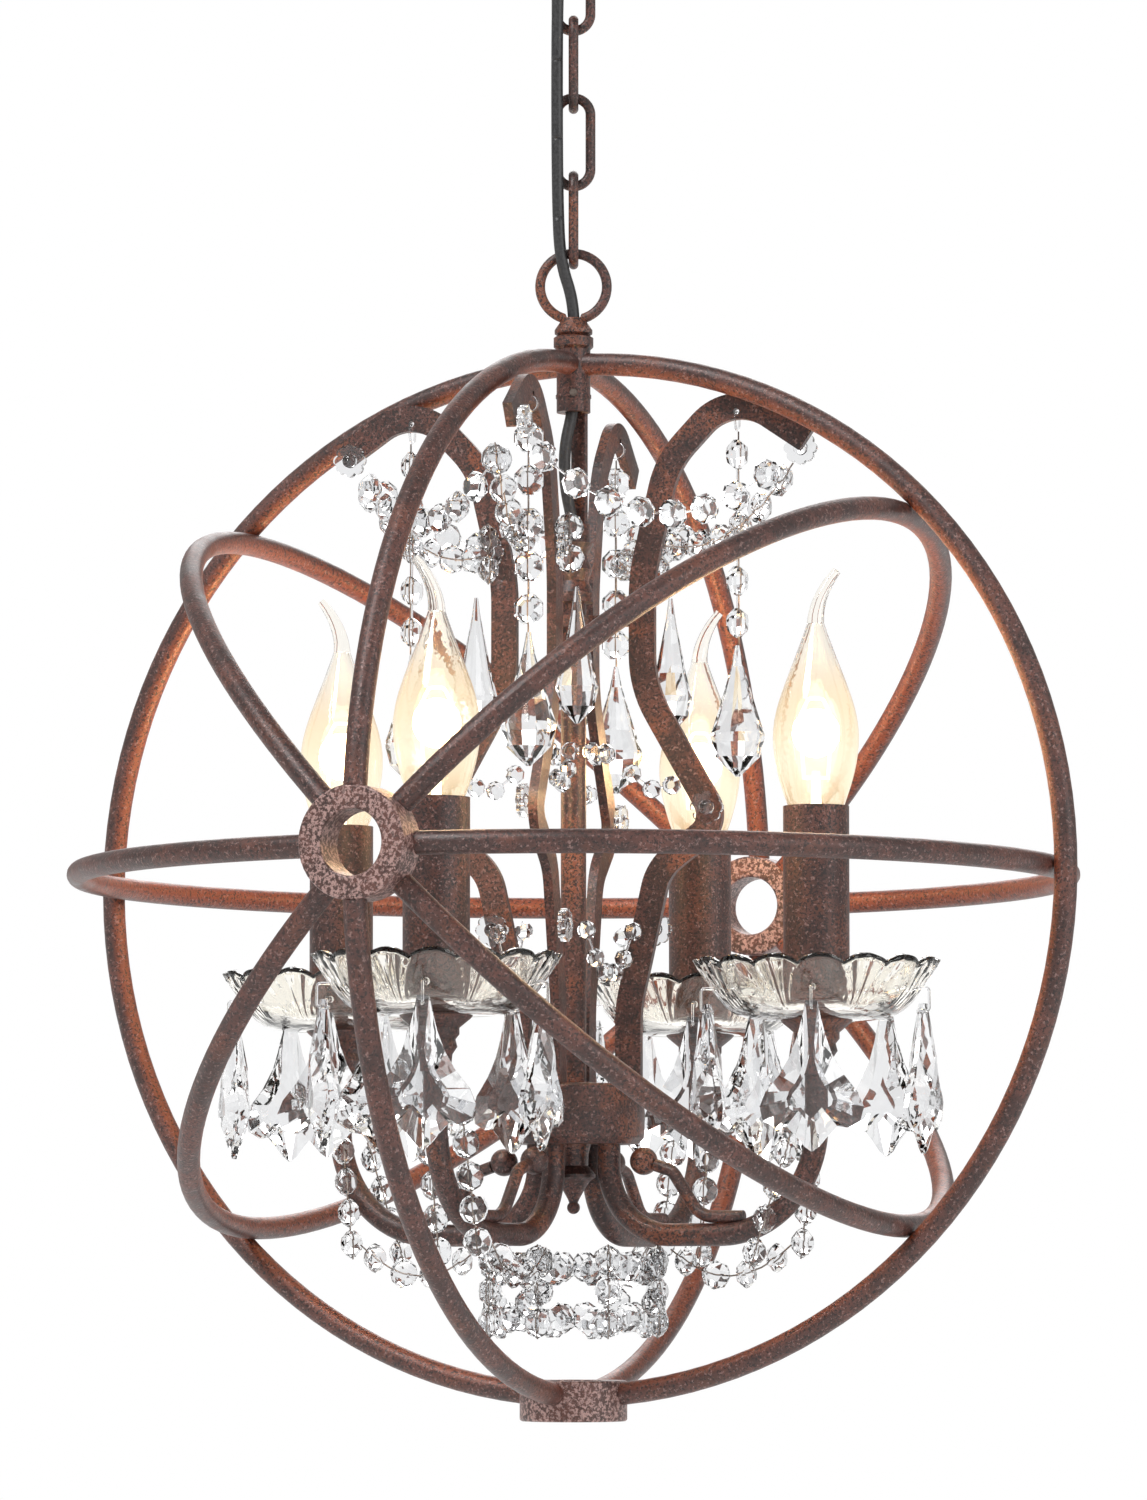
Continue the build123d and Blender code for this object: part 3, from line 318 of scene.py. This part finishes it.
def tube(name, points, radius, sides=20):
    """Closed round tube along points, its rings turned as little as the line allows."""
    along = (points[1] - points[0]).normalized()
    side = along.orthogonal().normalized()
    verts, faces = [], []
    for i, point in enumerate(points):
        ahead = points[min(i + 1, len(points) - 1)] - points[max(i - 1, 0)]
        along = ahead.normalized()
        side = (side - along * side.dot(along)).normalized()
        other = along.cross(side)
        for k in range(sides):
            turn = 2 * math.pi * k / sides
            verts.append(point + (side * math.cos(turn) + other * math.sin(turn)) * radius)
    for i in range(len(points) - 1):
        for k in range(sides):
            a, b = i * sides + k, i * sides + (k + 1) % sides
            faces.append((a, b, b + sides, a + sides))
    faces.append(tuple(reversed(range(sides))))
    faces.append(tuple(range(len(verts) - sides, len(verts))))
    mesh = bpy.data.meshes.new(name)
    mesh.from_pydata([tuple(v) for v in verts], [], faces)
    for polygon in mesh.polygons[:-2]:
        polygon.use_smooth = True
    return put_in_scene(bpy.data.objects.new(name, mesh))


cable_jacket = plain("cable_jacket", (0.010, 0.010, 0.011), (0.028, 0.028, 0.030), 0.42, scale=900.0, bump=0.15)
cable_line = spline_points(CABLE_ROUTE)
FIRST_PIVOT = 393.3  # mm above the orb's centre
LINK_PITCH = 33.3
PIVOTS = [(FIRST_PIVOT - LINK_PITCH * k) / 1000 + ORB_Z for k in range(5)]
CUT_BELOW_PIVOT = 0.0144
PAST_END = 1.0  # takes in the line's own end
heights = [
    cable_line[0].z + PAST_END,
    *(pivot - CUT_BELOW_PIVOT for pivot in PIVOTS[:4]),
    cable_line[-1].z - PAST_END,
]
for k, pivot in enumerate(PIVOTS):
    stretch = cut(cable_line, heights[k], heights[k + 1])
    if k == 0:
        stretch.insert(0, cable_line[0])
    piece = tube(f"supply_cable_{k + 1}", stretch, CABLE_R)
    piece.data.materials.append(cable_jacket)
    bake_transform(piece)
    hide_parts("supply_cable")

# ---------------------------------------------------------------- materials of the CAD pieces
# each iron's pink grains are painted highlight; the rings' inner orange is painted bulb glow
ring_iron = rusted_iron("ring_iron", pink=0.5, orange=0.25, inner=0.8)
hub_iron = rusted_iron("hub_iron", pink=1.0, orange=0.0, speck=0.6, highlight_start=0.46, dark=0.45)
iron = rusted_iron("chandelier_iron", pink=0.45, orange=0.8, speck=1.0, dark=0.5)
sleeve_iron = rusted_iron("sleeve_iron", pink=0.6, orange=0.35, speck=1.0, dark=0.5)
crystal = clear_glass("crystal", (0.84, 0.845, 0.855))
BULB_GLOW = (ORB_Z + 0.012, ORB_Z + 0.044, ORB_Z + 0.094)
bulb_glass = clear_glass("bulb_glass", (0.99, 0.96, 0.90), glow=BULB_GLOW, shadow=0.95)
filament = glowing("filament")
brass_cap = plain("brass_cap", (0.42, 0.28, 0.10), (0.62, 0.44, 0.18), 0.35, metallic=1.0)
holder = plain("holder_plastic", (0.03, 0.03, 0.03), (0.06, 0.06, 0.06), 0.5)
block = plain("block_plastic", (0.70, 0.69, 0.65), (0.80, 0.79, 0.76), 0.45)
steel = plain("screw_steel", (0.16, 0.12, 0.10), (0.34, 0.29, 0.26), 0.4, metallic=0.9)
dish_glass = clear_glass("dish_glass", (0.965, 0.945, 0.89), bump=140.0)

STARTS = {
    "ring_": ring_iron,
    "hub_collars": hub_iron,
    "candle_sleeve": sleeve_iron,
    "leaf_drops": crystal,
    "teardrop": crystal,
    "neck_teardrops": crystal,
    "tip_garlands": crystal,
    "column_beads": crystal,
    "bead_basket": crystal,
    "lyre_rosettes": crystal,
    "bulb_glasses": bulb_glass,
    "bulb_filaments": filament,
    "bulb_caps": brass_cap,
    "lampholders": holder,
    "terminal_block": block,
    "wire_connectors": block,
    "stem_screw": steel,
    "canopy_fasteners": steel,
    "mounting_bar": steel,
    "glass_dish": dish_glass,
    "supply_cable": cable_jacket,
}
for name, obj in nodes.items():
    found = [material for start, material in STARTS.items() if name.startswith(start)]
    material = found[0] if found else iron
    if not obj.material_slots:
        obj.data.materials.append(material)
    for material_slot in obj.material_slots:
        material_slot.material = material

# ---------------------------------------------------------------- pressed glass dishes
CANDLE_R = 0.114
ARM_ANGLES = [-96.0, -6.0, 84.0, 174.0]


def candle_axis(angle):
    """Where the candle at this angle stands: its x and y in metres."""
    a = math.radians(angle)
    return CANDLE_R * math.cos(a), CANDLE_R * math.sin(a)


def dressed_piece(name, verts, faces, material, body, smooth=True):
    """Piece made from vertices and faces, dressed and riding on its body."""
    mesh = bpy.data.meshes.new(name)
    mesh.from_pydata([tuple(v) for v in verts], [], faces)
    for polygon in mesh.polygons:
        polygon.use_smooth = smooth
    mesh.materials.append(material)
    obj = put_in_scene(bpy.data.objects.new(name, mesh))
    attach(obj, body)
    return obj


DISH_OUTSIDE = [
    (5.6, 0.0), (14.0, 0.0), (23.0, 0.1), (29.0, 1.0), (33.5, 2.6), (37.0, 4.9), (39.8, 7.6), (42.2, 10.6),
    (44.2, 13.6), (46.0, 16.6), (47.8, 19.6), (49.4, 22.4), (50.8, 25.0),
]
DISH_INSIDE = [
    (48.0, 25.6), (46.2, 22.6), (44.2, 19.2), (42.2, 15.8), (40.2, 12.8), (37.6, 9.8), (34.6, 7.2), (30.8, 5.2),
    (26.0, 4.0), (20.0, 3.5), (13.0, 3.4), (5.6, 3.4),
]
DISH_FOOT = ORB_Z - 0.0625
DISH_REACH = 51.3  # mm, the widest that a rim petal may be
PETAL_DROP = 3.6  # mm between a petal's tip and the notch beside it
RIPPLE = 0.9  # mm, how deep petals and fans are pressed
FAN_COUNT = 8
DISH_SIDES = 384


def fan(turn, height):
    """Ridge of the pressed fans at this angle round the dish: petals that spread upwards from one point."""
    across = (turn * FAN_COUNT / (2 * math.pi) + 0.5) % 1.0 * 2.0 - 1.0
    spread = 0.22 + 0.78 * height
    place = across / spread
    if abs(place) > 1.0:
        return 0.0
    return abs(math.cos(2.5 * math.pi * place)) ** 0.7 * (1.0 - 0.25 * abs(place))


def glass_dish(index, centre):
    """Pressed dish with a petalled rim and fans in its wall."""
    verts, faces = [], []
    profile = [(r, z, True) for r, z in DISH_OUTSIDE] + [(r, z, False) for r, z in DISH_INSIDE]
    for radius, height, outside in profile:
        lift = min(max((height - 3.0) / 20.0, 0.0), 1.0)
        rim = min(max((height - 15.0) / 10.0, 0.0), 1.0)
        for k in range(DISH_SIDES):
            turn = 2 * math.pi * k / DISH_SIDES
            petal = abs(math.cos(FAN_COUNT * turn)) ** 0.8
            z = height - PETAL_DROP * rim**2 * (1.0 - petal)
            r = radius - RIPPLE * rim * (1.0 - petal)
            if outside and 0.0 < lift:
                r += RIPPLE * (fan(turn, lift) - 0.6) * min(1.0, 4 * lift)
            r = min(r, DISH_REACH)
            x = centre[0] + r * math.cos(turn) / 1000
            y = centre[1] + r * math.sin(turn) / 1000
            verts.append((x, y, DISH_FOOT + z / 1000))
    rows = len(profile)
    for i in range(rows):
        for k in range(DISH_SIDES):
            here, above = i * DISH_SIDES, (i + 1) % rows * DISH_SIDES
            after = (k + 1) % DISH_SIDES
            faces.append((here + k, here + after, above + after, above + k))
    dish = dressed_piece(f"pressed_dish_{index}", verts, faces, dish_glass, f"dish_{index}")
    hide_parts(f"glass_dish_{index}")


for k, angle in enumerate(ARM_ANGLES):
    glass_dish(k + 1, candle_axis(angle))


# ---------------------------------------------------------------- more beads and their threads
THREAD_R = 0.00035
THREAD_SIDES = 6


def polar(angle, radius, height):
    """Point round the orb's axis, in metres; radius and height in mm."""
    a = math.radians(angle)
    return Vector((radius * math.cos(a) / 1000, radius * math.sin(a) / 1000, height / 1000 + ORB_Z))


def cut_bead(verts, faces, middle, along, out, radius, half):
    """Adds an eight-sided cut bead, flat across out, strung along its other way."""
    out = out.normalized()
    side = (along - out * along.dot(out)).normalized()
    other = out.cross(side)
    start = len(verts)
    levels = ((-half, 0.52), (-0.35 * half, 0.9), (0.0, 1.0), (0.35 * half, 0.9), (half, 0.52))
    for i, (depth, share) in enumerate(levels):
        for k in range(8):
            turn = 2 * math.pi * (k + 0.5 * (i % 2)) / 8
            spot = middle + out * depth
            verts.append(spot + (side * math.cos(turn) + other * math.sin(turn)) * radius * share)
    for i in range(4):
        for k in range(8):
            a, b = start + i * 8 + k, start + i * 8 + (k + 1) % 8
            if i % 2 == 0:
                faces.append((a, b, a + 8))
                faces.append((b, b + 8, a + 8))
            else:
                faces.append((a, b + 8, a + 8))
                faces.append((a, b, b + 8))
    faces.append(tuple(start + k for k in reversed(range(8))))
    faces.append(tuple(start + 32 + k for k in range(8)))


def strings(name, body, runs, radius=6.3, half=3.8):
    """Strings of beads: each run is (start, end, sag in mm, count), with a thin thread through its beads."""
    verts, faces, lines = [], [], []
    for start, end, sag, count in runs:
        line = []
        for i in range(2 * count + 1):
            share = i / (2 * count)
            point = start + (end - start) * share - Vector((0, 0, 4 * sag * share * (1 - share) / 1000))
            line.append(point)
        lines.append(line)
        for i in range(count):
            middle = line[2 * i + 1]
            along = line[2 * i + 2] - line[2 * i]
            wobble = Vector((0.3 * math.sin(5 * i), 0.3 * math.cos(7 * i), 0)) * 0.03
            out = Vector((middle.x, middle.y, 0)) + wobble
            if along.normalized().cross(out.normalized()).length < 0.3:
                out = Vector((-middle.y, middle.x, 0))
            cut_bead(verts, faces, middle, along, out, radius / 1000, half / 1000)
    dressed_piece(name, verts, faces, crystal, body, smooth=False)
    for i, line in enumerate(lines):
        thread = tube(f"{name}_thread_{i + 1}", line, THREAD_R, THREAD_SIDES)
        thread.data.materials.append(steel)
        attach(thread, body)


LYRE_ANGLES = [-82.0, 8.0, 98.0, 188.0]
arch_runs, arm_runs, basket_runs = [], [], []
for a in LYRE_ANGLES:
    arch_runs.append((polar(a - 4.2, 97, 171), polar(a - 12, 43, 138), 12, 6))
    arch_runs.append((polar(a + 12, 36, 150), polar(a + 13, 36, 124), 0, 2))
for a in ARM_ANGLES:
    arm_runs.append((polar(a + 4.5, 110, -94), polar(a + 7.0, 101, -160), 0, 5))
    arm_runs.append((polar(a - 4.5, 106, -110), polar(a - 8.0, 90, -164), 0, 4))
    arm_runs.append((polar(a + 9.0, 96, -154), polar(a + 14.0, 42, -156), 12, 4))
    for turn in (0.0, 45.0):
        basket_runs.append((polar(a + turn + 6, 38, -154), polar(a + turn + 6, 38, -193), 0, 3))
strings("arch_beads", "orb", arch_runs)
strings("arm_beads", "orb", arm_runs)
strings("basket_beads", "orb", basket_runs)
for i, a in enumerate(LYRE_ANGLES):
    wire_run = (polar(a, 71.6, 186), polar(a, 71.6, 96), 0, 1)
    strings(f"teardrop_wires_{i + 1}", f"teardrop_{i + 1}", [wire_run], radius=0.9, half=0.5)

# ---------------------------------------------------------------- floor and backdrop
FLOOR_Z = -1.25
FLOOR_REACH = 40.0
WHITE_FROM, WHITE_AT = 1.6, 3.2  # metres from the middle where the floor fades to white
corners = [(x * FLOOR_REACH, y * FLOOR_REACH, FLOOR_Z) for x, y in ((-1, -1), (1, -1), (1, 1), (-1, 1))]
floor_mesh = bpy.data.meshes.new("floor")
floor_mesh.from_pydata(corners, [], [(0, 1, 2, 3)])
floor = put_in_scene(bpy.data.objects.new("floor", floor_mesh))
n = Nodes("pale_floor")
coords = n.add("ShaderNodeTexCoord").outputs["Object"]
distance = n.add("ShaderNodeVectorMath", {0: coords}, operation="LENGTH").outputs["Value"]
tone = n.mix(n.noise(3.0), (0.90, 0.90, 0.90), (0.93, 0.93, 0.93))
cloth = n.add("ShaderNodeBsdfPrincipled", {"Base Color": tone, "Roughness": 0.9, "Specular IOR Level": 0.1})
white = n.add("ShaderNodeEmission", {"Color": (1, 1, 1, 1), "Strength": 1.0})
ray = n.add("ShaderNodeLightPath")
seen = n.math("MAXIMUM", ray.outputs["Is Camera Ray"], ray.outputs["Is Transmission Ray"])
far = n.math("MULTIPLY", seen, n.step(distance, WHITE_FROM, WHITE_AT))
floor_shader = n.add("ShaderNodeMixShader", {0: far, 1: cloth.outputs[0], 2: white.outputs[0]})
floor_mesh.materials.append(n.finish(floor_shader.outputs[0]))

# ---------------------------------------------------------------- world and lamps
world = bpy.data.worlds.new("studio")
bpy.context.scene.world = world
world.use_nodes = True
tree = world.node_tree
tree.nodes.clear()
ambient = tree.nodes.new("ShaderNodeBackground")
ambient.inputs["Color"].default_value = (1.0, 0.99, 0.97, 1)
ambient.inputs["Strength"].default_value = 0.62
backdrop = tree.nodes.new("ShaderNodeBackground")
backdrop.inputs["Color"].default_value = (1, 1, 1, 1)
path = tree.nodes.new("ShaderNodeLightPath")
either = tree.nodes.new("ShaderNodeMath")
either.operation = "MAXIMUM"
tree.links.new(path.outputs["Is Camera Ray"], either.inputs[0])
tree.links.new(path.outputs["Is Transmission Ray"], either.inputs[1])
choose = tree.nodes.new("ShaderNodeMixShader")
tree.links.new(either.outputs[0], choose.inputs[0])
tree.links.new(ambient.outputs[0], choose.inputs[1])
tree.links.new(backdrop.outputs[0], choose.inputs[2])
world_out = tree.nodes.new("ShaderNodeOutputWorld")
tree.links.new(choose.outputs[0], world_out.inputs[0])


SUN_DISTANCE = 5.0
BULB_LIGHT_Z = ORB_Z + 0.056


def sun(name, azimuth, elevation, strength, spread):
    """Soft white lamp from this azimuth, counted from the front hub, and elevation."""
    data = bpy.data.lights.new(name, "SUN")
    data.energy = strength
    data.angle = math.radians(spread)
    lamp = put_in_scene(bpy.data.objects.new(name, data))
    aim_at_orb(lamp, at_camera(azimuth, SUN_DISTANCE, elevation))


sun("key", -20.0, 48.0, 2.2, 22.0)
sun("fill", 75.0, 15.0, 0.9, 40.0)
sun("rim", 200.0, 30.0, 0.9, 30.0)
for k, angle in enumerate(ARM_ANGLES):
    data = bpy.data.lights.new(f"bulb_light_{k + 1}", "POINT")
    data.energy = 0.35
    data.color = (1.0, 0.62, 0.30)
    data.shadow_soft_size = 0.012
    lamp = put_in_scene(bpy.data.objects.new(f"bulb_light_{k + 1}", data))
    lamp.location = (*candle_axis(angle), BULB_LIGHT_Z)

bpy.context.scene.view_settings.view_transform = "Standard"
